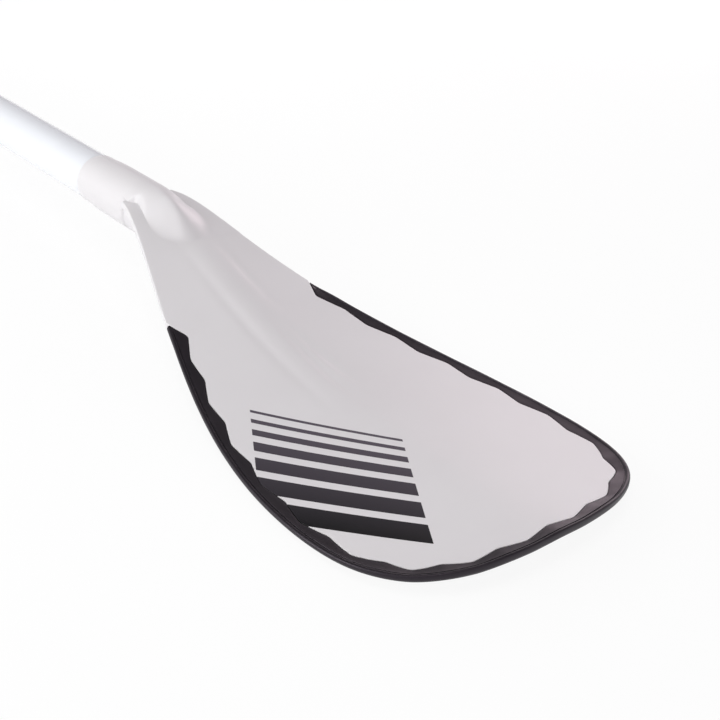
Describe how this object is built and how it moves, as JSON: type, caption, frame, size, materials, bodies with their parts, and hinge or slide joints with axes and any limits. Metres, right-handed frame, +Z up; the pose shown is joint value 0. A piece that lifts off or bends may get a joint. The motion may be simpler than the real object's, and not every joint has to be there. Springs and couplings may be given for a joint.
{
  "type": "adjustable stand-up paddle",
  "caption": "Adjustable stand-up paddle: scooped white blade with a dark wavy-edged rail, telescopic white shaft with cam-lever clamp, T-grip.",
  "frame": {"origin": "centre of the bounding box in plan, on the floor that the paddle lies on", "axes": "+X from the grip towards the blade tip along the lying paddle, +Y to the paddle's right, +Z up out of the power face"},
  "size_m": [1.6996, 0.1806, 0.0629],
  "materials": {
    "blade_skin": "satin white moulded ABS",
    "shaft_coat": "glossy white coated fibreglass tube",
    "edge_rail": "satin black ABS",
    "foam": "pale closed-cell foam",
    "black_nylon": "black glass-filled nylon",
    "grey_nylon": "grey nylon",
    "rubber": "soft black rubber",
    "stainless": "turned stainless steel"
  },
  "bodies": {
    "lower_section": {"blade_power_skin": "blade_skin", "blade_back_skin": "blade_skin", "blade_core": "foam", "edge_rail": "edge_rail", "lower_shaft": "shaft_coat", "shaft_bottom_plug": "foam", "clamp_collar": "black_nylon", "clamp_liner": "grey_nylon", "clamp_bolt": "stainless", "cam_washer": "stainless", "nut_washer": "stainless", "lever_pivot_pin": "stainless"},
    "upper_section": {"upper_shaft": "shaft_coat", "guide_plug": "grey_nylon", "guide_seal_ring": "rubber", "grip_core": "black_nylon", "grip_cover": "rubber", "grip_screw": "stainless"},
    "lever": {"clamp_lever": "black_nylon"},
    "nut": {"tension_nut": "black_nylon"}
  },
  "joints": [
    {"name": "length_slide", "type": "slide", "parent": "lower_section", "child": "upper_section", "axis": [-0.9997, 0, -0.0227], "range_m": [0, 0.43]},
    {"name": "lever_hinge", "type": "hinge", "parent": "lower_section", "child": "lever", "pos_m": [-0.32487, -0.01656, 0.05287], "axis": [-0.9997, 0, -0.0227], "range_deg": [0, 150]},
    {"name": "tension_nut_turn", "type": "hinge", "parent": "lower_section", "child": "nut", "pos_m": [-0.32487, 0.0131, 0.05287], "axis": [0, 1, 0], "range_deg": [-180, 180]}
  ]
}
